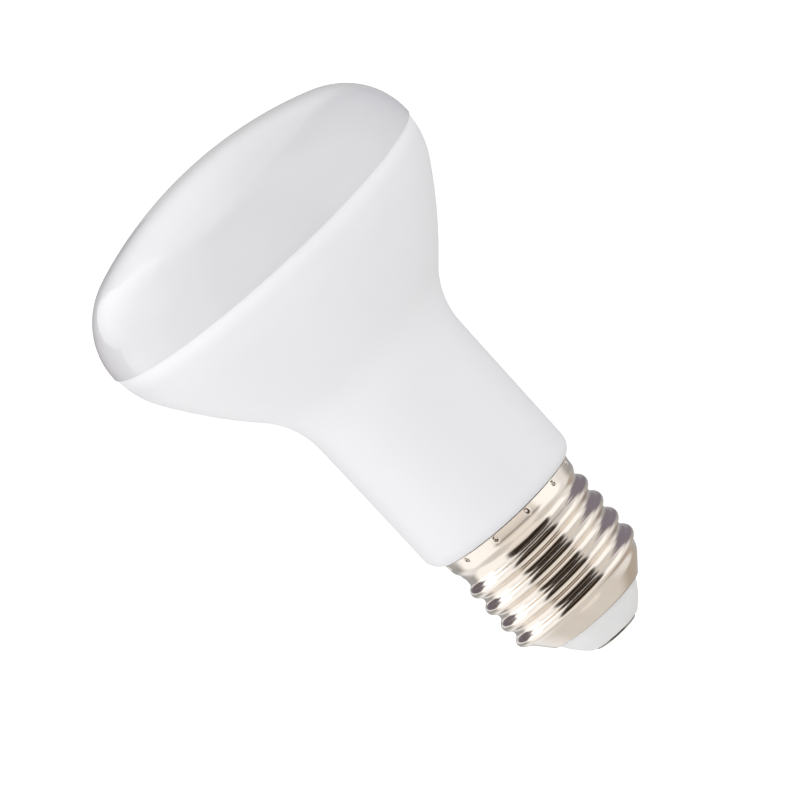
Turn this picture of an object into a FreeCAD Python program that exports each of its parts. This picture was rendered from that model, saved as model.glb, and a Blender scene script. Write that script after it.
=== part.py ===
import FreeCAD, Part
import math
import os

# Reflector lamp with a domed milky face and a standard 27 mm screw cap.
# Millimetres. The axis is Z, the face looks up, and the outer face of the centre contact lies at height 0.

os.makedirs("parts", exist_ok=True)

# Domed face
face_radius = 31.6
dome_radius = 66.4
corner_radius = 12.5
face_band = 0.3
dome_wall = 1.5
skirt_depth = 2.8
skirt_wall = 1.2
skirt_clearance = 0.1
skirt_end_gap = 0.3

# Flared housing
seam_height = 84.4
rim_step = 0.25
rim_wall = 1.1
shoulder_radius = 14.2
flare_top_angle = 31.4
flare_bottom_angle = 43.1
waist_radius = 14.4
neck_overhang = 2.02
neck_draft = 0.45
neck_corner_radius = 2.9
neck_corner_angle = 58.0
plug_end_height = 11.5
plug_chamfer = 0.8

# Screw cap, rolled from thin sheet
cap_height = 26.9
sheet = 0.3
crest_radius = 13.06
thread_depth = 1.02
thread_pitch = 3.629
lowest_crest = 10.86
run_in_height = 2.84
run_in_angle = 120.0
run_out_height = 0.37
run_out_angle = 280.0
skirt_length = 2.7
skirt_inset = 0.21
rim_flare = 0.23
brow_radius = 3.5
taper_angle = 40.0
cap_edge_inset = 2.92
cap_edge_height = 5.0
cap_clearance = 0.1
cap_gap = 0.15

# Punched crimps in the cap's skirt
crimp_count = 12
crimp_first_angle = -78.8
crimp_radius = 0.4
crimp_depth = 0.4
crimp_margin = 0.05

# Insulator and centre contact
contact_radius = 4.2
contact_thickness = 0.5
contact_chamfer = 0.15
contact_stem_radius = 1.3
contact_stem_length = 5.0
stem_clearance = 0.05
nose_margin = 1.1
nose_round = 0.3
insulator_bulge_radius = 15.0
insulator_clearance = 0.06
insulator_step = 0.45
insulator_top_gap = 0.3
seat_rise = 0.35


def at(radius, height):
    return FreeCAD.Vector(radius, 0, height)


def line(start, end):
    return Part.LineSegment(start, end).toShape()


def on_circle(centre, radius, degrees):
    a = math.radians(degrees)
    return at(centre.x + radius * math.cos(a), centre.z + radius * math.sin(a))


def bend(centre, radius, first, last):
    # Circular arc between two directions, counted from straight outwards, up being positive.
    middle = (first + last) / 2
    points = [on_circle(centre, radius, degrees) for degrees in (first, middle, last)]
    return Part.Arc(*points).toShape()


def join(edges):
    # Adds the straight edges that close a chain of arcs and lines.
    closed = []
    for index, edge in enumerate(edges):
        following = edges[(index + 1) % len(edges)]
        closed.append(edge)
        end = edge.lastVertex(True).Point
        start = following.firstVertex(True).Point
        if end.distanceToPoint(start) > 1e-6:
            closed.append(line(end, start))
    return closed


def turned(edges):
    face = Part.Face(Part.Wire(join(edges)))
    return face.revolve(FreeCAD.Vector(0, 0, 0), FreeCAD.Vector(0, 0, 1), 360)


def chain(corners):
    return [line(corners[i], corners[i + 1]) for i in range(len(corners) - 1)]


def sin(degrees):
    return math.sin(math.radians(degrees))


def cos(degrees):
    return math.cos(math.radians(degrees))


def tan(degrees):
    return math.tan(math.radians(degrees))


# Domed face: a spherical cap that rounds into a short upright band, with a skirt inside the housing's rim.
band_top = seam_height + face_band
corner_centre = at(face_radius - corner_radius, band_top)
dome_edge = 90 - math.degrees(math.asin(corner_centre.x / (dome_radius - corner_radius)))
dome_centre = at(0, band_top - (dome_radius - corner_radius) * sin(dome_edge))
rim_radius = face_radius - rim_step
recess_radius = rim_radius - rim_wall
skirt_outer = recess_radius - skirt_clearance
skirt_inner = skirt_outer - skirt_wall
inner_corner = corner_radius - dome_wall
skirt_start = math.degrees(math.acos((skirt_inner - corner_centre.x) / inner_corner))
skirt_end = seam_height - skirt_depth
diffuser = turned([
    bend(dome_centre, dome_radius, 90, dome_edge),
    bend(corner_centre, corner_radius, dome_edge, 0),
    line(at(face_radius, band_top), at(face_radius, seam_height)),
    line(at(skirt_outer, seam_height), at(skirt_outer, skirt_end)),
    line(at(skirt_inner, skirt_end), on_circle(corner_centre, inner_corner, skirt_start)),
    bend(corner_centre, inner_corner, skirt_start, dome_edge),
    bend(dome_centre, dome_radius - dome_wall, dome_edge, 90),
])
diffuser.exportStep("parts/diffuser.step")

# Section of the cap's sheet: flared skirt, step down to the thread's root, brow and taper, in short chords.
root_radius = crest_radius - thread_depth
roll_radius = (thread_pitch ** 2 / 4 + thread_depth ** 2) / (4 * thread_depth)
skirt_radius = crest_radius - skirt_inset
cap_rim_radius = skirt_radius + rim_flare
skirt_bottom = cap_height - skirt_length
flare = math.degrees(math.atan(rim_flare / skirt_length))
step_slope = (1 + cos(flare) - (skirt_radius - root_radius) / roll_radius) / 2
step_angle = math.degrees(math.acos(step_slope))
step_top = at(skirt_radius - roll_radius * cos(flare), skirt_bottom + roll_radius * sin(flare))
step_bottom = on_circle(step_top, 2 * roll_radius, -step_angle)
cap_edge_radius = root_radius - cap_edge_inset
taper_drop = cap_edge_inset - brow_radius * (1 - cos(taper_angle))
taper_top = cap_edge_height + taper_drop / tan(taper_angle)
brow_height = taper_top + brow_radius * sin(taper_angle)
brow_centre = at(root_radius - brow_radius, brow_height)


def sheet_corners(inset):
    # Corners of the section moved inwards by a distance, from the rim down to the lower edge.
    corners = [at(cap_rim_radius - inset, cap_height)]
    for share in (0, 0.5, 1):
        direction = -flare - share * (step_angle - flare)
        corners.append(on_circle(step_top, roll_radius - inset, direction))
    for share in (0.5, 1):
        direction = 180 - step_angle + share * step_angle
        corners.append(on_circle(step_bottom, roll_radius + inset, direction))
    for share in (0, 0.35, 0.7, 1):
        corners.append(on_circle(brow_centre, brow_radius - inset, -share * taper_angle))
    edge = at(cap_edge_radius, cap_edge_height)
    corners.append(on_circle(edge, inset, 180 - taper_angle))
    return corners


# Rolled thread: a right-handed helical ridge with a rounded section, drawn with short chords too.
def wall_radius(height):
    # Outside of the sheet under the ridge: the thread's root, then the brow and the taper.
    if height >= brow_height:
        return root_radius
    if height >= taper_top:
        return brow_centre.x + math.sqrt(brow_radius ** 2 - (brow_height - height) ** 2)
    return cap_edge_radius + (height - cap_edge_height) * tan(taper_angle)


def ridge_rise(offset):
    # Two tangent arcs per half pitch, a crest and a root, as standard screw caps have.
    quarter = thread_pitch / 4
    if abs(offset) <= quarter:
        return thread_depth - roll_radius + math.sqrt(roll_radius ** 2 - offset ** 2)
    return roll_radius - math.sqrt(roll_radius ** 2 - (2 * quarter - abs(offset)) ** 2)


def turn_at(height):
    # Degrees round the axis at which the crest reaches a height.
    return 360 * (height - lowest_crest) / thread_pitch


def fade(degrees):
    # The ridge grows out of the wall at its lower end and sinks into the skirt at its upper end.
    rising = (degrees - ridge_first) / run_in_angle
    falling = (ridge_last - degrees) / run_out_angle
    return max(0.0, min(1.0, rising, falling))


ridge_first = turn_at(cap_edge_height + run_in_height)
ridge_last = turn_at(skirt_bottom + run_out_height)
ridge_sink = 0.25
ridge_root = 0.45
half_pitch = thread_pitch / 2
foot = 0.95 * half_pitch
foot_rise = -0.08
section = [(-foot, -ridge_root), (-foot, foot_rise)]
section += [(share * half_pitch, ridge_rise(share * half_pitch)) for share in (-0.5, -0.2, 0.2, 0.5)]
section += [(foot, foot_rise), (foot, -ridge_root)]


def ridge_point(degrees, offset, rise):
    height = lowest_crest + thread_pitch * degrees / 360 + offset
    faded = (rise + ridge_sink) * fade(degrees) - ridge_sink
    radius = wall_radius(height) + (rise if rise == -ridge_root else faded)
    return FreeCAD.Vector(radius * cos(degrees), radius * sin(degrees), height)


def ridge_curve(first, last, offset, rise):
    steps = max(4, round((last - first) / 15))
    turns = [first + (last - first) * i / steps for i in range(steps + 1)]
    curve = Part.BSplineCurve()
    curve.interpolate([ridge_point(degrees, offset, rise) for degrees in turns])
    return curve.toShape()


def ridge_length(first, last):
    # About one turn of the ridge: ruled bands between helical curves, with a flat face at each end.
    curves = [ridge_curve(first, last, *corner) for corner in section]
    faces = [Part.makeRuledSurface(curves[i - 1], curves[i], 1) for i in range(len(curves))]
    for degrees in (first, last):
        outline = [ridge_point(degrees, *corner) for corner in section]
        faces.append(Part.Face(Part.makePolygon(outline + outline[:1])))
    skin = Part.makeShell(faces)
    skin.sewShape()
    solid = Part.makeSolid(skin)
    if solid.Volume < 0:
        solid.reverse()
    return solid


lengths = math.ceil((ridge_last - ridge_first) / 360)
stops = [ridge_first + (ridge_last - ridge_first) * i / lengths for i in range(lengths + 1)]
ridge = [ridge_length(stops[i], stops[i + 1]) for i in range(lengths)]
mouth = sheet_corners(sheet)[-1]
axis_ends = [at(0, mouth.z), at(0, cap_height)]
blank = turned(chain(axis_ends + sheet_corners(0) + [mouth]))
hollow = turned(chain(axis_ends + sheet_corners(sheet)))
cap = blank.multiFuse(ridge).cut(hollow)


# Crimps: blunt conical dents that push the sheet into a groove round the plug.
def crimp(mouth, tip, start, end):
    # A blunt cone that points at the axis, between two distances from it.
    inwards = FreeCAD.Vector(-1, 0, 0)
    return Part.makeCone(mouth, tip, start - end, at(start, crimp_height), inwards)


def ring_of(tool):
    tools = []
    for index in range(crimp_count):
        copy = tool.copy()
        angle = crimp_first_angle + 360 * index / crimp_count
        copy.rotate(FreeCAD.Vector(0, 0, 0), FreeCAD.Vector(0, 0, 1), angle)
        tools.append(copy)
    return tools


crimp_drop = crimp_radius + sheet + crimp_margin
crimp_height = cap_height - crimp_drop
crimp_tip = crimp_radius / 2
crimp_surface = cap_rim_radius - crimp_drop * tan(flare)
crimp_floor = crimp_surface - crimp_depth
dent = crimp(crimp_radius + 0.1, crimp_tip, crimp_surface + 0.1, crimp_floor)
stud = crimp(crimp_radius + sheet, crimp_tip + sheet, crimp_surface - sheet / 2, crimp_floor - sheet)
cap = cap.fuse(ring_of(stud)).cut(Part.makeCompound(ring_of(dent)))
cap.exportStep("parts/screw_cap.step")

# Housing: the flare is three tangent arcs between the rim and the slender neck, which ends in a round corner.
neck_radius = cap_rim_radius + neck_overhang
waist_gain = waist_radius * (cos(neck_draft) - cos(flare_bottom_angle))
shoulder_gain = shoulder_radius * (1 - cos(flare_top_angle))
flank_gain = rim_radius - neck_radius - waist_gain - shoulder_gain
flank_radius = flank_gain / (cos(flare_top_angle) - cos(flare_bottom_angle))
shoulder_centre = at(rim_radius - shoulder_radius, seam_height)
flank_centre = on_circle(shoulder_centre, shoulder_radius - flank_radius, -flare_top_angle)
waist_centre = on_circle(flank_centre, flank_radius + waist_radius, -flare_bottom_angle)
neck_top = on_circle(waist_centre, waist_radius, 180 - neck_draft)
neck_end = cap_height + cap_gap
corner_height = neck_end + neck_corner_radius * sin(neck_corner_angle)
corner_edge = neck_top.x - (neck_top.z - corner_height) * tan(neck_draft)
neck_corner = at(corner_edge - neck_corner_radius / cos(neck_draft), corner_height)
recess_floor = skirt_end - skirt_end_gap

# The plug fills the cap's skirt and thread, with a groove under the neck for the crimps.
plug_inset = sheet + cap_clearance
plug_radius = root_radius - plug_inset
plug_line = sheet_corners(plug_inset)
groove_half = crimp_radius + plug_inset
groove_floor = crimp_tip + sheet
groove_radius = crimp_floor - plug_inset
groove_mouth = crimp_surface - plug_inset
groove = [
    at(groove_mouth, neck_end),
    at(groove_radius, crimp_height + groove_floor),
    at(groove_radius, crimp_height - groove_floor),
    at(groove_mouth, crimp_height - groove_half),
]
plug_end = [at(plug_radius, plug_end_height + plug_chamfer), at(plug_radius - plug_chamfer, plug_end_height)]
housing = turned([
    line(at(0, recess_floor), at(recess_radius, recess_floor)),
    line(at(recess_radius, seam_height), at(rim_radius, seam_height)),
    bend(shoulder_centre, shoulder_radius, 0, -flare_top_angle),
    bend(flank_centre, flank_radius, -flare_top_angle, -flare_bottom_angle),
    bend(waist_centre, waist_radius, 180 - flare_bottom_angle, 180 - neck_draft),
    bend(neck_corner, neck_corner_radius, -neck_draft, -neck_corner_angle),
    *chain(groove + plug_line[1:6] + plug_end + [at(0, plug_end_height)]),
])
housing.exportStep("parts/housing.step")


# Insulator: seats on the inside of the taper, comes out through the cap's mouth and narrows to the nose.
def bulge(start, end, radius):
    # Circular arc between two points that swells away from the axis.
    half = end.sub(start).multiply(0.5)
    rise = radius - math.sqrt(radius ** 2 - half.Length ** 2)
    middle = start.add(half).add(at(-half.z, half.x).multiply(rise / half.Length))
    return Part.Arc(start, middle, end).toShape()


def seat_radius(height):
    # Inside of the taper, less the fit.
    slope = (height - cap_edge_height) * tan(taper_angle)
    return cap_edge_radius + slope - (sheet + insulator_clearance) / cos(taper_angle)


insulator_top = taper_top - insulator_top_gap
seat_start = cap_edge_height + seat_rise
insulator_neck = seat_radius(seat_start) - insulator_step
nose_radius = contact_radius + nose_margin
nose_edge = at(nose_radius, contact_thickness + nose_round)
bore_radius = contact_stem_radius + stem_clearance
bore_end = contact_thickness + contact_stem_length + stem_clearance
insulator = turned([
    line(at(0, insulator_top), at(seat_radius(insulator_top), insulator_top)),
    line(at(seat_radius(seat_start), seat_start), at(insulator_neck, cap_edge_height)),
    bulge(at(insulator_neck, cap_edge_height), nose_edge, insulator_bulge_radius),
    line(at(nose_radius - nose_round, contact_thickness), at(bore_radius, contact_thickness)),
    line(at(bore_radius, bore_end), at(0, bore_end)),
])
insulator.exportStep("parts/cap_insulator.step")

# Centre contact: a disc against the nose, with a stem pressed up the bore.
stem_end = contact_thickness + contact_stem_length
contact = turned([
    line(at(0, 0), at(contact_radius - contact_chamfer, 0)),
    line(at(contact_radius, contact_chamfer), at(contact_radius, contact_thickness)),
    line(at(contact_stem_radius, contact_thickness), at(contact_stem_radius, stem_end)),
    line(at(contact_stem_radius, stem_end), at(0, stem_end)),
])
contact.exportStep("parts/centre_contact.step")

for solid in (diffuser, housing, cap, insulator, contact):
    print(solid.isValid(), len(solid.Solids), len(solid.Faces), round(solid.Volume, 1))
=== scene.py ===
# %% [markdown]
# # A reflector lamp, dressed for its picture
# The lamp comes as five plain solids: a milky domed face, a white housing, a screw cap rolled from sheet,
# the insulator in its mouth and the contact at the end. Here each gets its real finish, and the cap's
# sheet is drawn again with its rolled thread and punched crimps. Lengths are metres, so values in
# millimetres are multiplied by `mm`.

# %% Frame
import bpy
import math
import numpy as np
from mathutils import Matrix, Vector


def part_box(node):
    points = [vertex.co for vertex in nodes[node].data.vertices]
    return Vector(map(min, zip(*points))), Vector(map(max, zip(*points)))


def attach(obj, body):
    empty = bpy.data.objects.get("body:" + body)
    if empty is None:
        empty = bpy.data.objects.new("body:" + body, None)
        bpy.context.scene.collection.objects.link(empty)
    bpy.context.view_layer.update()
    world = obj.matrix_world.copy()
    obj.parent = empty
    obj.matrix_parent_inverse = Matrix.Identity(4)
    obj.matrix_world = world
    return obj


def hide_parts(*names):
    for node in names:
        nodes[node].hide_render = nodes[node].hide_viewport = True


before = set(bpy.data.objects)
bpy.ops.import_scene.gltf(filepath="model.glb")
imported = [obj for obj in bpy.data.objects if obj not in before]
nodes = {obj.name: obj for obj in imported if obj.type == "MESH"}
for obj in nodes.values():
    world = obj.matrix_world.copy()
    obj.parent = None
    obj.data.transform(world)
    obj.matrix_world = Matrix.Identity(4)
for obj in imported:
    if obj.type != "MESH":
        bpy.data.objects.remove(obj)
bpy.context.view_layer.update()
scene = bpy.context.scene
mm = 0.001

# %% [markdown]
# ## Camera
# The photograph is taken with a long lens, almost square to the lamp's axis: the domed face is turned a
# little towards the viewer, and the picture is rolled so that the lamp leans to the upper left. A camera
# on a circle round the lamp, with one angle for each of those, is easier to match than a free one.

# %% Camera
face_turn = math.radians(8.725)
roll = math.radians(-42.56)
distance = 3.0
aim = Vector((-0.42 * mm, 0, 51.05 * mm))

camera = bpy.data.objects.new("camera", bpy.data.cameras.new("camera"))
scene.collection.objects.link(camera)
back = Vector((0, -math.cos(face_turn), math.sin(face_turn)))
camera.location = aim + distance * back
level = (-back).to_track_quat("-Z", "Y").to_matrix()
camera.rotation_mode = "QUATERNION"
camera.rotation_quaternion = (level @ Matrix.Rotation(roll, 3, "Z")).to_quaternion()
camera.data.sensor_width = 36
camera.data.lens = 849.6
camera.data.clip_start = 0.01
camera.data.clip_end = 50
scene.camera = camera
print("camera at", [round(v, 3) for v in camera.location])

# %% [markdown]
# ## Helpers for every material
# Colours are picked as sRGB hex values, which is how a screen names them, and the shader wants them
# linear. One function adds a node, sets its values and wires its inputs, so that a material reads from
# top to bottom. It takes materials and the world alike, because both own a node tree. Three small ones
# start a material, end it, and blend two colours along a noise.


# %% Colours and nodes
def linear(hex_colour):
    channels = [int(hex_colour[i:i + 2], 16) / 255 for i in (1, 3, 5)]
    return [c / 12.92 if c <= 0.04045 else ((c + 0.055) / 1.055) ** 2.4 for c in channels] + [1]


def add(owner, kind, inputs=None, **settings):
    node = owner.node_tree.nodes.new(kind)
    for name, value in settings.items():
        setattr(node, name, value)
    for name, value in (inputs or {}).items():
        if isinstance(value, bpy.types.NodeSocket):
            owner.node_tree.links.new(value, node.inputs[name])
        else:
            node.inputs[name].default_value = value
    return node


print("mid grey in linear light:", [round(c, 3) for c in linear("#808080")])


# %% New materials and colour ramps
def new_material(name):
    material = bpy.data.materials.new(name)
    material.use_nodes = True
    material.node_tree.nodes.clear()
    return material


def finish_with(material, shader):
    output = add(material, "ShaderNodeOutputMaterial")
    material.node_tree.links.new(shader, output.inputs["Surface"])
    print("material:", material.name, "with", len(material.node_tree.nodes), "nodes")
    return material


def ramp(material, factor, stops):
    node = add(material, "ShaderNodeValToRGB", {"Fac": factor})
    elements = node.color_ramp.elements
    while len(elements) < len(stops):
        elements.new(0.5)
    for element, (position, colour) in zip(elements, stops):
        element.position = position
        element.color = colour
    return node.outputs["Color"]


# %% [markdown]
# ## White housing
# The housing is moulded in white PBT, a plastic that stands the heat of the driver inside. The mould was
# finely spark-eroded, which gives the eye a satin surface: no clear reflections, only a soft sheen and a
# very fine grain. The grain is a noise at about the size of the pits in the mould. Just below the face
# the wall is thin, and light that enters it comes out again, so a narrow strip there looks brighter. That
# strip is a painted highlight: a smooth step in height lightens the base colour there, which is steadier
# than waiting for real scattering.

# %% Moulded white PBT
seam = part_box("housing")[1].z
bright_strip = 3.5 * mm
pit_size = 0.35 * mm
shade_size = 18 * mm


def moulded_pbt():
    material = new_material("moulded_white_PBT")
    place = add(material, "ShaderNodeTexCoord").outputs["Object"]
    grain = add(material, "ShaderNodeTexNoise", {"Vector": place, "Scale": 1 / pit_size, "Detail": 3.0})
    clouds = add(material, "ShaderNodeTexNoise", {"Vector": place, "Scale": 1 / shade_size, "Detail": 2.0})
    plain = ramp(material, clouds.outputs["Fac"], [(0.35, linear("#EEEEF1")), (0.65, linear("#F0F0F2"))])
    height = add(material, "ShaderNodeSeparateXYZ", {"Vector": place}).outputs["Z"]
    # Painted highlight: the base colour turns lighter in a narrow strip just below the face.
    painted_highlight_strip = add(material, "ShaderNodeMapRange", {
        "Value": height,
        "From Min": seam - bright_strip,
        "From Max": seam,
    }, interpolation_type="SMOOTHSTEP")
    colour = add(material, "ShaderNodeMix", {
        0: painted_highlight_strip.outputs[0],
        6: plain,
        7: linear("#FAFAFC"),
    }, data_type="RGBA")
    rough = add(material, "ShaderNodeMapRange", {
        "Value": grain.outputs["Fac"],
        "To Min": 0.40,
        "To Max": 0.50,
    })
    bump = add(material, "ShaderNodeBump", {
        "Height": grain.outputs["Fac"],
        "Strength": 0.06,
        "Distance": 0.02 * mm,
    })
    shader = add(material, "ShaderNodeBsdfPrincipled", {
        "Base Color": colour.outputs[2],
        "Roughness": rough.outputs["Result"],
        "Normal": bump.outputs["Normal"],
        "IOR": 1.5,
        "Subsurface Weight": 0.15,
        "Subsurface Radius": (1.0, 1.0, 1.0),
        "Subsurface Scale": 0.8 * mm,
    })
    return finish_with(material, shader.outputs["BSDF"])


# %% [markdown]
# ## Milky face
# The domed face is moulded in polycarbonate filled with a fine white powder that scatters the light of
# the diodes. The mould is polished, so the eye sees two things at once: a soft milky body, and the studio
# mirrored on it, faint in the middle and stronger where the face turns away. That is a dull, scattering
# base under a thin clear coat. The coat's low IOR keeps the mirror image faint. The mould leaves a slight
# waviness, which is drawn as a weak bump 6 mm long.

# %% Milky polycarbonate
flow_size = 22 * mm
wave_length = 6 * mm


def milky_polycarbonate():
    material = new_material("milky_polycarbonate")
    place = add(material, "ShaderNodeTexCoord").outputs["Object"]
    flow = add(material, "ShaderNodeTexNoise", {"Vector": place, "Scale": 1 / flow_size, "Detail": 2.0})
    colour = ramp(material, flow.outputs["Fac"], [(0.35, linear("#E1E0E3")), (0.65, linear("#E3E2E5"))])
    ripple = add(material, "ShaderNodeTexNoise", {"Vector": place, "Scale": 1 / wave_length, "Detail": 1.0})
    rough = add(material, "ShaderNodeMapRange", {
        "Value": flow.outputs["Fac"],
        "To Min": 0.34,
        "To Max": 0.4,
    })
    bump = add(material, "ShaderNodeBump", {
        "Height": ripple.outputs["Fac"],
        "Strength": 0.004,
        "Distance": 0.02 * mm,
    })
    shader = add(material, "ShaderNodeBsdfPrincipled", {
        "Base Color": colour,
        "Roughness": rough.outputs["Result"],
        "Normal": bump.outputs["Normal"],
        "IOR": 1.585,
        "Specular IOR Level": 0.15,
        "Coat Weight": 0.7,
        "Coat Roughness": 0.035,
        "Coat IOR": 1.35,
        "Subsurface Weight": 0.4,
        "Subsurface Radius": (1.0, 1.0, 1.0),
        "Subsurface Scale": 1.5 * mm,
    })
    return finish_with(material, shader.outputs["BSDF"])


# %% [markdown]
# ## Nickel-plated sheet
# The cap is thin brass or steel sheet, rolled into its thread and then plated with bright nickel. To the
# eye, nickel is a mirror in a warm, slightly yellow grey. Rolling leaves faint lines round the cap, and
# handling a few dull patches. The lines are a noise that is stretched fifty times longer round the cap
# than up it. Real ones are finer than 0.12 mm, and these are as coarse as they need to be to show.

# %% Nickel-plated rolled sheet
line_spacing = 0.12 * mm
line_stretch = 0.02
patch_size = 3.5 * mm


def nickel_plated_sheet():
    material = new_material("nickel_plated_rolled_sheet")
    place = add(material, "ShaderNodeTexCoord").outputs["Object"]
    stretched = add(material, "ShaderNodeMapping", {
        "Vector": place,
        "Scale": (line_stretch / line_spacing, line_stretch / line_spacing, 1 / line_spacing),
    })
    lines = add(material, "ShaderNodeTexNoise", {
        "Vector": stretched.outputs["Vector"],
        "Scale": 1.0,
        "Detail": 2.0,
    })
    patches = add(material, "ShaderNodeTexNoise", {"Vector": place, "Scale": 1 / patch_size, "Detail": 3.0})
    colour = ramp(material, patches.outputs["Fac"], [(0.3, linear("#E2D9CF")), (0.7, linear("#E6DED5"))])
    rough = add(material, "ShaderNodeMapRange", {
        "Value": patches.outputs["Fac"],
        "To Min": 0.12,
        "To Max": 0.2,
    })
    bump = add(material, "ShaderNodeBump", {
        "Height": lines.outputs["Fac"],
        "Strength": 0.05,
        "Distance": 0.01 * mm,
    })
    shader = add(material, "ShaderNodeBsdfPrincipled", {
        "Base Color": colour,
        "Metallic": 1.0,
        "Roughness": rough.outputs["Result"],
        "Normal": bump.outputs["Normal"],
    })
    return finish_with(material, shader.outputs["BSDF"])


# %% [markdown]
# ## Insulator
# The insulator is a pale resin that is moulded into the cap's mouth. The eye sees a dense, even, almost
# white body with a dull shine. Two noises are enough for it: a fine grain for the shine and broad clouds
# for the colour.

# %% Moulded insulating resin
resin_grain = 0.5 * mm
resin_cloud = 4 * mm


def moulded_resin():
    material = new_material("moulded_insulating_resin")
    place = add(material, "ShaderNodeTexCoord").outputs["Object"]
    grain = add(material, "ShaderNodeTexNoise", {"Vector": place, "Scale": 1 / resin_grain, "Detail": 3.0})
    clouds = add(material, "ShaderNodeTexNoise", {"Vector": place, "Scale": 1 / resin_cloud, "Detail": 2.0})
    colour = ramp(material, clouds.outputs["Fac"], [(0.3, linear("#E6E5E5")), (0.7, linear("#EAEAEA"))])
    rough = add(material, "ShaderNodeMapRange", {
        "Value": grain.outputs["Fac"],
        "To Min": 0.34,
        "To Max": 0.46,
    })
    bump = add(material, "ShaderNodeBump", {
        "Height": grain.outputs["Fac"],
        "Strength": 0.08,
        "Distance": 0.02 * mm,
    })
    shader = add(material, "ShaderNodeBsdfPrincipled", {
        "Base Color": colour,
        "Roughness": rough.outputs["Result"],
        "Normal": bump.outputs["Normal"],
        "IOR": 1.55,
    })
    return finish_with(material, shader.outputs["BSDF"])


# %% [markdown]
# ## Contact
# The contact is a turned brass pin, plated like the cap, with a base colour darker than the cap's. The
# cutting tool leaves rings on its face, which a wave texture draws round the axis. Real rings are much
# finer, and these are as coarse as they need to be to show. A wave texture holds 20 / (2 pi) rings to a
# unit, so its scale follows from the spacing and that number.

# %% Turned and plated contact
ring_spacing = 1.57 * mm
rings_per_unit = 20 / (2 * math.pi)
wear_size = 2 * mm


def turned_contact():
    material = new_material("turned_nickel_plated_brass")
    place = add(material, "ShaderNodeTexCoord").outputs["Object"]
    rings = add(material, "ShaderNodeTexWave", {
        "Vector": place,
        "Scale": 1 / (ring_spacing * rings_per_unit),
        "Distortion": 0.4,
        "Detail": 1.0,
    }, wave_type="RINGS", rings_direction="Z")
    worn = add(material, "ShaderNodeTexNoise", {"Vector": place, "Scale": 1 / wear_size, "Detail": 3.0})
    colour = ramp(material, worn.outputs["Fac"], [(0.3, linear("#858178")), (0.7, linear("#95918A"))])
    rough = add(material, "ShaderNodeMapRange", {
        "Value": worn.outputs["Fac"],
        "To Min": 0.2,
        "To Max": 0.32,
    })
    bump = add(material, "ShaderNodeBump", {
        "Height": rings.outputs["Fac"],
        "Strength": 0.15,
        "Distance": 0.01 * mm,
    })
    shader = add(material, "ShaderNodeBsdfPrincipled", {
        "Base Color": colour,
        "Metallic": 1.0,
        "Roughness": rough.outputs["Result"],
        "Normal": bump.outputs["Normal"],
    })
    return finish_with(material, shader.outputs["BSDF"])


# %% [markdown]
# ## Dressing the solids
# Four of the five solids already have their final shape, because they are plain turned forms. They only
# swap their grey placeholder for a finish. The cap's solid is dressed too, although the rolled cap will
# replace it.


# %% Finishes on the solids
def dress(piece, material):
    piece.data.materials.clear()
    piece.data.materials.append(material)


nickel = nickel_plated_sheet()
dress(nodes["housing"], moulded_pbt())
dress(nodes["diffuser"], milky_polycarbonate())
dress(nodes["cap_insulator"], moulded_resin())
dress(nodes["centre_contact"], turned_contact())
dress(nodes["screw_cap"], nickel)

# %% [markdown]
# ## Screw cap
# The real cap is one piece of sheet, drawn into a cup and rolled between two dies, so both of its faces
# follow the thread. It could be a spin with a screw modifier, but the thread has to fade into the skirt
# at one end and into the taper at the other. A grid of points round the axis, each moved out by a
# formula, does that smoothly. The formula is the section of a standard 27 mm cap: a crest and a root of
# equal arcs. These values are in mm.

# %% Sizes of the cap
rim_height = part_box("screw_cap")[1].z / mm
edge_height = 5.0
edge_radius = 9.12
sheet = 0.3
pitch = 3.629
crest_radius = 13.06
depth = 1.02
root_radius = crest_radius - depth
lowest_crest = 10.86
roll_radius = (pitch ** 2 / 4 + depth ** 2) / (4 * depth)
print("cap, mm: crest", 2 * crest_radius, "root", 2 * root_radius, "arc of the thread", round(roll_radius, 3))

# %% [markdown]
# Without its thread the sheet is a cone that rises from the edge, a rounded brow and an upright wall.
# Above the thread the wall widens to the skirt in two tangent arcs, and the skirt flares a little to its
# rim, because the sheet springs back where the die ends.

# %% Section without the thread
taper = math.radians(40)
brow_radius = 3.5
skirt_height = 25.2
skirt_radius = 12.85
skirt_arc = 2.0
rim_radius = 13.08
flare_power = 1.5


def taper_and_wall(z):
    brow_drop = root_radius - brow_radius * (1 - math.cos(taper)) - edge_radius
    taper_top = edge_height + brow_drop / math.tan(taper)
    brow_height = taper_top + brow_radius * math.sin(taper)
    on_taper = edge_radius + (z - edge_height) * math.tan(taper)
    below = np.clip(brow_height - z, 0, brow_radius)
    on_brow = root_radius - brow_radius + np.sqrt(brow_radius ** 2 - below ** 2)
    return np.where(z < taper_top, on_taper, on_brow)


def with_skirt(z):
    share = np.clip((z - skirt_height) / (rim_height - skirt_height), 0, 1)
    on_skirt = skirt_radius + (rim_radius - skirt_radius) * share ** flare_power
    rise = skirt_radius - root_radius
    half_angle = math.acos(1 - rise / (2 * skirt_arc))
    reach = 2 * skirt_arc * math.sin(half_angle)
    down = np.clip(skirt_height - z, 0, reach)
    upper = skirt_arc - np.sqrt(skirt_arc ** 2 - np.minimum(down, reach / 2) ** 2)
    up = reach - down
    lower = rise - skirt_arc + np.sqrt(skirt_arc ** 2 - np.minimum(up, reach / 2) ** 2)
    drop = np.where(down < reach / 2, upper, lower)
    return np.where(z > skirt_height, on_skirt, taper_and_wall(z) + rise - drop)


section_heights = np.array([edge_height, lowest_crest, skirt_height, rim_height])
print("section, mm:", with_skirt(section_heights).round(2))

# %% [markdown]
# The thread is a helix: going once round, its crest climbs by one pitch. For each point the nearest crest
# is found first, and the distance to it gives the rise of the rolled wave. At both ends the wave fades
# out over part of a turn, and sinks into the plain sheet. The larger of the two radii wins, with a small
# rounding where they cross, as in sheet that is pressed over an edge.

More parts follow.
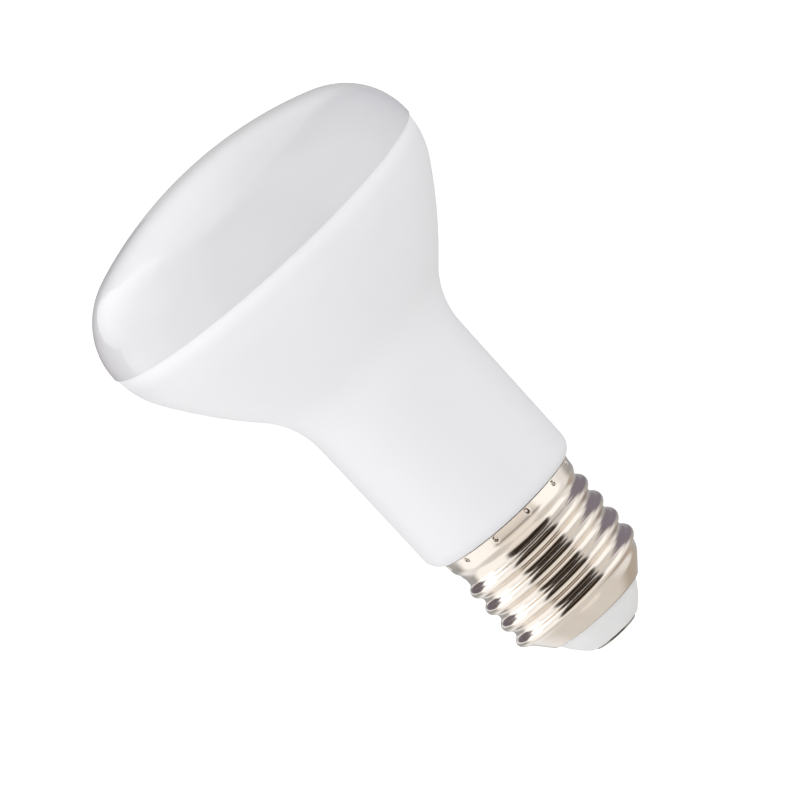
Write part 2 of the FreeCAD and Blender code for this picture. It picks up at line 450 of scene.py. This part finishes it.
# %% Helical wave
thread_start = -300.0
run_in = 120.0
thread_end = 1360.0
run_out = 280.0
sink = 0.25
crossing_softness = 0.08


def smooth_maximum(a, b, softness):
    overlap = np.maximum(softness - np.abs(a - b), 0) / softness
    return np.maximum(a, b) + overlap ** 2 * softness / 4


def outside_radius(turn, z):
    degrees = np.degrees(turn)
    here = (z - lowest_crest) / pitch * 360
    degrees = degrees + 360 * np.round((here - degrees) / 360)
    offset = np.abs(z - lowest_crest - pitch * degrees / 360)
    quarter = pitch / 4
    near_crest = depth - roll_radius + np.sqrt(roll_radius ** 2 - np.minimum(offset, quarter) ** 2)
    from_root = np.clip(2 * quarter - offset, 0, quarter)
    near_root = roll_radius - np.sqrt(roll_radius ** 2 - from_root ** 2)
    rise = np.where(offset < quarter, near_crest, near_root)
    started = (degrees - thread_start) / run_in
    left_over = (thread_end - degrees) / run_out
    fade = np.clip(np.minimum(started, left_over), 0, 1)
    ridge = taper_and_wall(z) + (rise + sink) * fade - sink
    return smooth_maximum(with_skirt(z), ridge, crossing_softness)


print("turns of the thread:", round((thread_end - thread_start) / 360, 2))

# %% [markdown]
# ## Crimps
# A ring of punched crimps locks the cap to the housing. Each is a small oval pit with a raised lip, a
# little slanted, as the punch leaves it. They could be cut as holes with a boolean, but a dent in the
# same formula keeps the sheet in one piece and costs nothing. The dent is measured across and along the
# sheet, in mm.

# %% Crimps
crimp_count = 12
crimp_first = math.radians(-78.8)
crimp_height = rim_height - 0.75
crimp_slant = math.radians(18)
crimp_width = 0.42
crimp_tall = 0.55
crimp_depth = 0.45
pit_wall = 0.45
lip_rise = 0.035
lip_place = 1.15
lip_spread = 0.16


def crimp_dent(turn, z, radius):
    step = 2 * math.pi / crimp_count
    nearest = crimp_first + step * np.round((turn - crimp_first) / step)
    across = (turn - nearest) * radius
    along = z - crimp_height
    x = (across * math.cos(crimp_slant) + along * math.sin(crimp_slant)) / crimp_width
    y = (along * math.cos(crimp_slant) - across * math.sin(crimp_slant)) / crimp_tall
    reach = np.sqrt(x ** 2 + y ** 2)
    pit = np.clip((1 - reach) / pit_wall, 0, 1)
    pit = pit * pit * (3 - 2 * pit)
    lip = np.exp(-((reach - lip_place) / lip_spread) ** 2)
    return lip_rise * lip - crimp_depth * pit


print("crimps:", crimp_count, "at height", round(crimp_height, 2), "mm")

# %% [markdown]
# ## Grid of the cap
# The crimps are small and the wall is large, so the grid isn't even: its columns are packed closer at the
# crimps, and its rows closer at the crimps' height. That shows the pits clearly and keeps the piece well
# under its limit of triangles. `spaced` joins stretches, each given by its end and the number of steps to
# it, into one list.


# %% Columns and rows
def spaced(stops):
    values = [stops[0][0]]
    for (start, _), (end, steps) in zip(stops, stops[1:]):
        values += [start + (end - start) * (i + 1) / steps for i in range(steps)]
    return np.array(values)


sector = 2 * math.pi / crimp_count
dense = math.radians(3.2)
dense_columns = 18
plain_columns = 14
one_sector = spaced([(-dense, 0), (dense, dense_columns), (sector - dense, plain_columns)])[:-1]
turns = np.concatenate([crimp_first + sector * i + one_sector for i in range(crimp_count)])

crimp_band = 0.75
rim_round = 0.08
wall_rows = 112
crimp_rows = 22
rim_rows = 3
heights = spaced([
    (edge_height, 0),
    (crimp_height - crimp_band, wall_rows),
    (crimp_height + crimp_band, crimp_rows),
    (rim_height - rim_round, rim_rows),
])
print("columns:", len(turns), "rows:", len(heights))

# %% [markdown]
# Every point of the grid goes out to the thread's radius and in again at a crimp. The surface's own
# normal then comes from the steps to the neighbouring points, and the inside of the sheet lies along it.

# %% Outside of the sheet
def to_points(turn, z, radius):
    return np.stack([radius * np.cos(turn), radius * np.sin(turn), z], axis=-1)


grid_turn, grid_z = np.meshgrid(turns, heights, indexing="ij")
grid_radius = outside_radius(grid_turn, grid_z)
grid_radius = grid_radius + crimp_dent(grid_turn, grid_z, grid_radius)
outside = to_points(grid_turn, grid_z, grid_radius)
along_turn = np.roll(outside, -1, axis=0) - np.roll(outside, 1, axis=0)
along_height = np.gradient(outside, heights, axis=1)
normals = np.cross(along_turn, along_height)
normals /= np.linalg.norm(normals, axis=-1, keepdims=True)
outward = (normals[:, :, :2] * outside[:, :, :2]).sum() > 0
print("grid of the cap:", outside.shape, "normals point out:", bool(outward))

# %% [markdown]
# ## Both faces and both edges
# The inside hardly shows, so it takes every third row, from the rim back down to the lower edge. The rim
# is cut level and closed with a small round, because a real sheet's edge is never sharp. The lower edge
# lies against the insulator, so a flat strip closes it. All rows together make one closed skin: round the
# section and round the axis.

# %% Inside of the sheet
every_third = list(range(len(heights) - 1, -1, -3))
if every_third[-1] != 0:
    every_third.append(0)
inside = outside[:, every_third] - sheet * normals[:, every_third]
inside[:, 0, 2] = heights[-1]
print("rows inside:", len(every_third))


# %% Skin of the cap
def rounded_edge(start, end, bulge, count=3):
    # Rows of a half round between two rows, which swells along a direction.
    rows = []
    middle = (start + end) / 2
    half = (start - end) / 2
    for i in range(1, count + 1):
        share = i / (count + 1)
        angle = math.pi * share
        rows.append(middle + half * math.cos(angle) + bulge * math.sin(angle))
    return rows


def closed_skin(name, rings):
    count = len(rings)
    columns = len(rings[0])
    points = np.concatenate(rings)
    faces = []
    for i in range(count):
        j = (i + 1) % count
        for k in range(columns):
            n = (k + 1) % columns
            faces.append((i * columns + k, i * columns + n, j * columns + n, j * columns + k))
    mesh = bpy.data.meshes.new(name)
    mesh.from_pydata((points * mm).tolist(), [], faces)
    mesh.update()
    mesh.polygons.foreach_set("use_smooth", [True] * len(mesh.polygons))
    piece = bpy.data.objects.new(name, mesh)
    scene.collection.objects.link(piece)
    return piece


rim_bulge = np.array([0, 0, rim_round])
no_bulge = np.zeros(3)
rings = [outside[:, i] for i in range(len(heights))]
rings += rounded_edge(outside[:, -1], inside[:, 0], rim_bulge)
rings += [inside[:, i] for i in range(len(every_third))]
rings += rounded_edge(inside[:, -1], outside[:, 0], no_bulge)
rolled_cap = closed_skin("rolled_cap", rings)
dress(rolled_cap, nickel)
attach(rolled_cap, "root")
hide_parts("screw_cap")
print("rolled cap:", len(rolled_cap.data.polygons), "faces")

# %% [markdown]
# ## Floor
# The photograph is cut out on pure white, without a shadow at the lamp. A sheet of white paper some way
# below the lamp does the same and still catches a shadow in other views. The paper alone renders a pale
# grey, so rays that come straight from the camera see it a little brighter. The lamp itself gets no light
# from that.

# %% White paper
floor_drop = 50 * mm
floor_size = 6.0
camera_lift = 0.3
square = ((-1, -1), (1, -1), (1, 1), (-1, 1))
floor_corners = [(x * floor_size, y * floor_size, -floor_drop) for x, y in square]
floor_mesh = bpy.data.meshes.new("floor")
floor_mesh.from_pydata(floor_corners, [], [(0, 1, 2, 3)])
floor = bpy.data.objects.new("floor", floor_mesh)
scene.collection.objects.link(floor)
floor.visible_glossy = False

floor_material = new_material("white_paper_sweep")
paper_shader = add(floor_material, "ShaderNodeBsdfDiffuse", {"Color": linear("#F0F0F0")})
rays = add(floor_material, "ShaderNodeLightPath")
no_glow = add(floor_material, "ShaderNodeEmission", {"Strength": 0.0})
glow = add(floor_material, "ShaderNodeEmission", {"Color": linear("#FFFFFF"), "Strength": camera_lift})
seen_glow = add(floor_material, "ShaderNodeMixShader", {
    0: rays.outputs["Is Camera Ray"],
    1: no_glow.outputs[0],
    2: glow.outputs[0],
})
paper_and_glow = add(floor_material, "ShaderNodeAddShader", {
    0: paper_shader.outputs[0],
    1: seen_glow.outputs[0],
})
finish_with(floor_material, paper_and_glow.outputs[0])
floor_mesh.materials.append(floor_material)

# %% [markdown]
# ## World
# A lamp with a white housing and a bright cap is photographed in a white tent, with the dark room showing
# only through the opening for the camera. The white plastic then looks even, and the cap gets its dark
# streaks. Real panels could be hung round the lamp, but each would also change the light on the housing.
# So the tent is painted on the world by direction, and only mirror rays see the painting. A direction is
# two angles: round the lamp, and up from the floor. Round the lamp there are two scales, one that starts
# at the front and one that starts at the back, because each scale has a seam where it comes full circle.

# %% Directions
scene.view_settings.view_transform = "Standard"
world = bpy.data.worlds.new("white_tent")
scene.world = world
world.use_nodes = True
world.node_tree.nodes.clear()
direction = add(world, "ShaderNodeTexCoord").outputs["Generated"]
right, away, up = add(world, "ShaderNodeSeparateXYZ", {"Vector": direction}).outputs
near = add(world, "ShaderNodeMath", {0: away, 1: -1.0}, operation="MULTIPLY").outputs[0]
from_front = add(world, "ShaderNodeMath", {0: right, 1: near}, operation="ARCTAN2").outputs[0]
from_back = add(world, "ShaderNodeMath", {0: right, 1: away}, operation="ARCTAN2").outputs[0]
elevation = add(world, "ShaderNodeMath", {0: up}, operation="ARCSINE").outputs[0]
print("nodes for a direction:", len(world.node_tree.nodes))

# %% [markdown]
# A panel is a rectangle in those two angles, with soft edges. Each new panel is hung in front of the ones
# that are already there, so the order matters, as with sheets of paper. All angles are in degrees, and
# positive angles are on the right of the picture.


# %% One soft-edged panel
def between(angle, ends, softness):
    # 1 between two angles and 0 outside, with a soft change at both ends.
    edge = math.radians(softness) / 2
    low = math.radians(ends[0])
    high = math.radians(ends[1])
    rise = add(world, "ShaderNodeMapRange", {
        "Value": angle,
        "From Min": low - edge,
        "From Max": low + edge,
    }, interpolation_type="SMOOTHSTEP")
    fall = add(world, "ShaderNodeMapRange", {
        "Value": angle,
        "From Min": high - edge,
        "From Max": high + edge,
        "To Min": 1.0,
        "To Max": 0.0,
    }, interpolation_type="SMOOTHSTEP")
    both = add(world, "ShaderNodeMath", {0: rise.outputs[0], 1: fall.outputs[0]}, operation="MULTIPLY")
    return both.outputs[0]


def panel(behind, angle, azimuths, elevations, softness, colour, strength):
    # The two values of softness are the widths of the fade at the sides and at top and bottom.
    across = between(angle, azimuths, softness[0])
    upright = between(elevation, elevations, softness[1])
    mask = add(world, "ShaderNodeMath", {0: across, 1: upright}, operation="MULTIPLY")
    shine = [channel * strength for channel in linear(colour)[:3]] + [1]
    mixed = add(world, "ShaderNodeMix", {0: mask.outputs[0], 6: behind, 7: shine}, data_type="RGBA")
    return mixed.outputs[2]


# %% [markdown]
# The painting goes from the far side to the near side. Where each panel shows on the lamp is said above
# it. They were found one at a time: pick a spot on the picture, work out which direction it mirrors, and
# hang a panel there. Flat sheets of one grey don't occur in a real tent, so every panel fades out over
# some degrees.

# %% Tent behind the lamp
white = "#FFFFFF"
all_round = (-200, 200)
tent_wall = add(world, "ShaderNodeRGB")
tent_wall.outputs[0].default_value = linear(white)
seen = tent_wall.outputs[0]
# The ground, in the cap's taper.
seen = panel(seen, from_back, all_round, (-96, -46), (1, 24), "#FFFBF6", 0.83)
# A dim patch on the right of the ground, at the right end of the taper.
seen = panel(seen, from_back, (4, 50), (-60, -16), (20, 16), "#C0B5AA", 1.0)
# The lit wall on the left, in the left part of the face.
seen = panel(seen, from_back, (-178, -64), (4, 66), (34, 14), white, 1.16)
# A brighter sheet above it, along the far edge of the face.
seen = panel(seen, from_back, (-100, 2), (23, 76), (12, 30), white, 1.65)
# Plain wall below that sheet, so that it doesn't reach down to the thread.
seen = panel(seen, from_back, (-106, -50), (2, 30), (16, 24), white, 1.0)
# Shade low behind the lamp, along the cap's two outlines.
seen = panel(seen, from_back, (-62, 60), (-20, 14), (20, 16), white, 0.42)
print("nodes so far, behind the lamp:", len(world.node_tree.nodes))

# %% Tent beside the lamp
# Low sheets on both sides, in the white patches of the thread.
seen = panel(seen, from_front, (-122, -20), (-40, 6), (20, 10), white, 1.3)
seen = panel(seen, from_back, (88, 178), (-40, 14), (16, 24), white, 1.35)
# The upper wall on the right, a little dimmer.
seen = panel(seen, from_back, (88, 138), (14, 96), (16, 24), white, 0.8)
# A grey cloth behind on the right, at the right ends of the thread's crests.
seen = panel(seen, from_back, (16, 76), (-6, 60), (18, 14), "#8A8490", 1.0)
print("nodes so far, behind and beside the lamp:", len(world.node_tree.nodes))

# %% Opening for the camera
warm_white = "#FFFAF4"
night = "#0A0807"
# The cloth round the opening, bright below and dimmer above, in the skirt and on the thread's lower flanks.
seen = panel(seen, from_front, (-45, 38), (-76, 96), (10, 16), warm_white, 1.05)
seen = panel(seen, from_front, (-45, 38), (-28, 96), (10, 14), warm_white, 0.86)
# The dark room, in the dark bands of the thread.
seen = panel(seen, from_front, (-45, 42), (-15, 96), (10, 8), "#32261C", 0.8)
# A pale strip in the room, in the line that splits those bands.
seen = panel(seen, from_front, (-34, 32), (33, 46), (8, 6), "#8A7C70", 0.9)
# The room's ceiling and the open top of the tent.
seen = panel(seen, from_front, (-45, 42), (54, 96), (8, 6), night, 1.0)
seen = panel(seen, from_front, all_round, (74, 96), (1, 16), night, 1.0)
print("nodes in the painted tent:", len(world.node_tree.nodes))

# %% [markdown]
# Three kinds of ray meet the world. The camera and rays through clear matter see pure white, mirror rays
# see the painted tent, and everything else gets an even light, which is just below white, so that the
# housing keeps its shading and doesn't clip.

# %% World output
even_light = 0.88
path = add(world, "ShaderNodeLightPath")
tent = add(world, "ShaderNodeBackground", {"Color": linear(white), "Strength": even_light})
pure_white = add(world, "ShaderNodeBackground", {"Color": linear(white), "Strength": 1.0})
painted = add(world, "ShaderNodeBackground", {"Color": seen, "Strength": 1.0})
plain_rays = add(world, "ShaderNodeMath", {
    0: path.outputs["Is Camera Ray"],
    1: path.outputs["Is Transmission Ray"],
}, operation="MAXIMUM")
unmirrored = add(world, "ShaderNodeMixShader", {
    0: plain_rays.outputs[0],
    1: tent.outputs[0],
    2: pure_white.outputs[0],
})
sky = add(world, "ShaderNodeMixShader", {
    0: path.outputs["Is Glossy Ray"],
    1: unmirrored.outputs[0],
    2: painted.outputs[0],
})
world_output = add(world, "ShaderNodeOutputWorld", {"Surface": sky.outputs[0]})
print("world output takes", world_output.inputs["Surface"].links[0].from_node.bl_idname)

# %% [markdown]
# ## Lamps
# The even light alone would leave the white plastic flat. In the photograph the left of the housing and
# of the face is a little brighter than the right. Three large, weak softboxes give that: a long low one
# at the left, a smaller one at the right and one high behind. They don't appear in mirror rays, because
# the painted tent already holds every reflection.

# %% Softboxes
lamp_middle = Vector((0, 0, 50 * mm))


def around(azimuth, elevation, reach):
    # A place round the lamp. Azimuth 0 is the camera's side and 90 the right of the picture.
    a = math.radians(azimuth)
    e = math.radians(elevation)
    towards = Vector((math.sin(a) * math.cos(e), -math.cos(a) * math.cos(e), math.sin(e)))
    return lamp_middle + reach * towards


def softbox(name, place, width, height, power):
    data = bpy.data.lights.new(name, "AREA")
    data.shape = "RECTANGLE"
    data.size = width
    data.size_y = height
    data.energy = power
    box = bpy.data.objects.new(name, data)
    box.location = place
    box.rotation_mode = "QUATERNION"
    box.rotation_quaternion = (lamp_middle - place).to_track_quat("-Z", "Y")
    box.visible_glossy = False
    scene.collection.objects.link(box)
    print(name, "at", [round(v, 2) for v in box.location], "with", power, "W")


softbox("left_softbox", around(-50, 3, 0.9), width=0.9, height=0.3, power=1.4)
softbox("right_softbox", around(68, 22, 0.9), width=0.62, height=0.3, power=0.45)
softbox("top_softbox", around(-175, 62, 1.1), width=0.9, height=0.7, power=0.4)

# %% [markdown]
# ## Cards
# Two reflections on the face need a real place and not only a direction, because the face mirrors what is
# close to it differently from point to point. One is a dark card that curves round behind the left of the
# face and gives its grey left end. The other is a faint window, whose light is added to the wall behind
# it. Only mirror rays see them, so they throw no shadow and no light on the lamp.


# %% Cards for mirror rays
def card(name, corners, shader_of):
    # A flat or folded card through pairs of corners.
    faces = [(i, i + 2, i + 3, i + 1) for i in range(0, len(corners) - 2, 2)]
    mesh = bpy.data.meshes.new(name)
    mesh.from_pydata(corners, [], faces)
    piece = bpy.data.objects.new(name, mesh)
    scene.collection.objects.link(piece)
    material = new_material(name)
    finish_with(material, shader_of(material))
    mesh.materials.append(material)
    for ray in ("camera", "diffuse", "transmission", "shadow", "volume_scatter"):
        setattr(piece, "visible_" + ray, False)


def on_circle(azimuth, reach, height):
    a = math.radians(azimuth)
    return (reach * math.sin(a), -reach * math.cos(a), height)


# %% Dark card
def dark_grey(material):
    return add(material, "ShaderNodeEmission", {"Color": linear("#756C74"), "Strength": 1.0}).outputs[0]


card_reach = 160 * mm
card_start = -118
card_sweep = -56
card_steps = 12
card_heights = (30 * mm, 118 * mm)
dark_corners = []
for i in range(card_steps + 1):
    azimuth = card_start + card_sweep * i / card_steps
    dark_corners += [on_circle(azimuth, card_reach, height) for height in card_heights]
card("dark_card", dark_corners, dark_grey)


# %% Window
window_strength = 0.55


def clear_glow(material):
    # Light that is added to whatever stands behind the card.
    light = add(material, "ShaderNodeEmission", {"Color": linear(white), "Strength": window_strength})
    clear = add(material, "ShaderNodeBsdfTransparent")
    return add(material, "ShaderNodeAddShader", {0: light.outputs[0], 1: clear.outputs[0]}).outputs[0]


window_sides = ((-167.3, 0.9), (-83.5, 0.74))
window_heights = (0.0, 0.94)
window_corners = []
for azimuth, reach in window_sides:
    window_corners += [on_circle(azimuth, reach, height) for height in window_heights]
card("window_glow", window_corners, clear_glow)
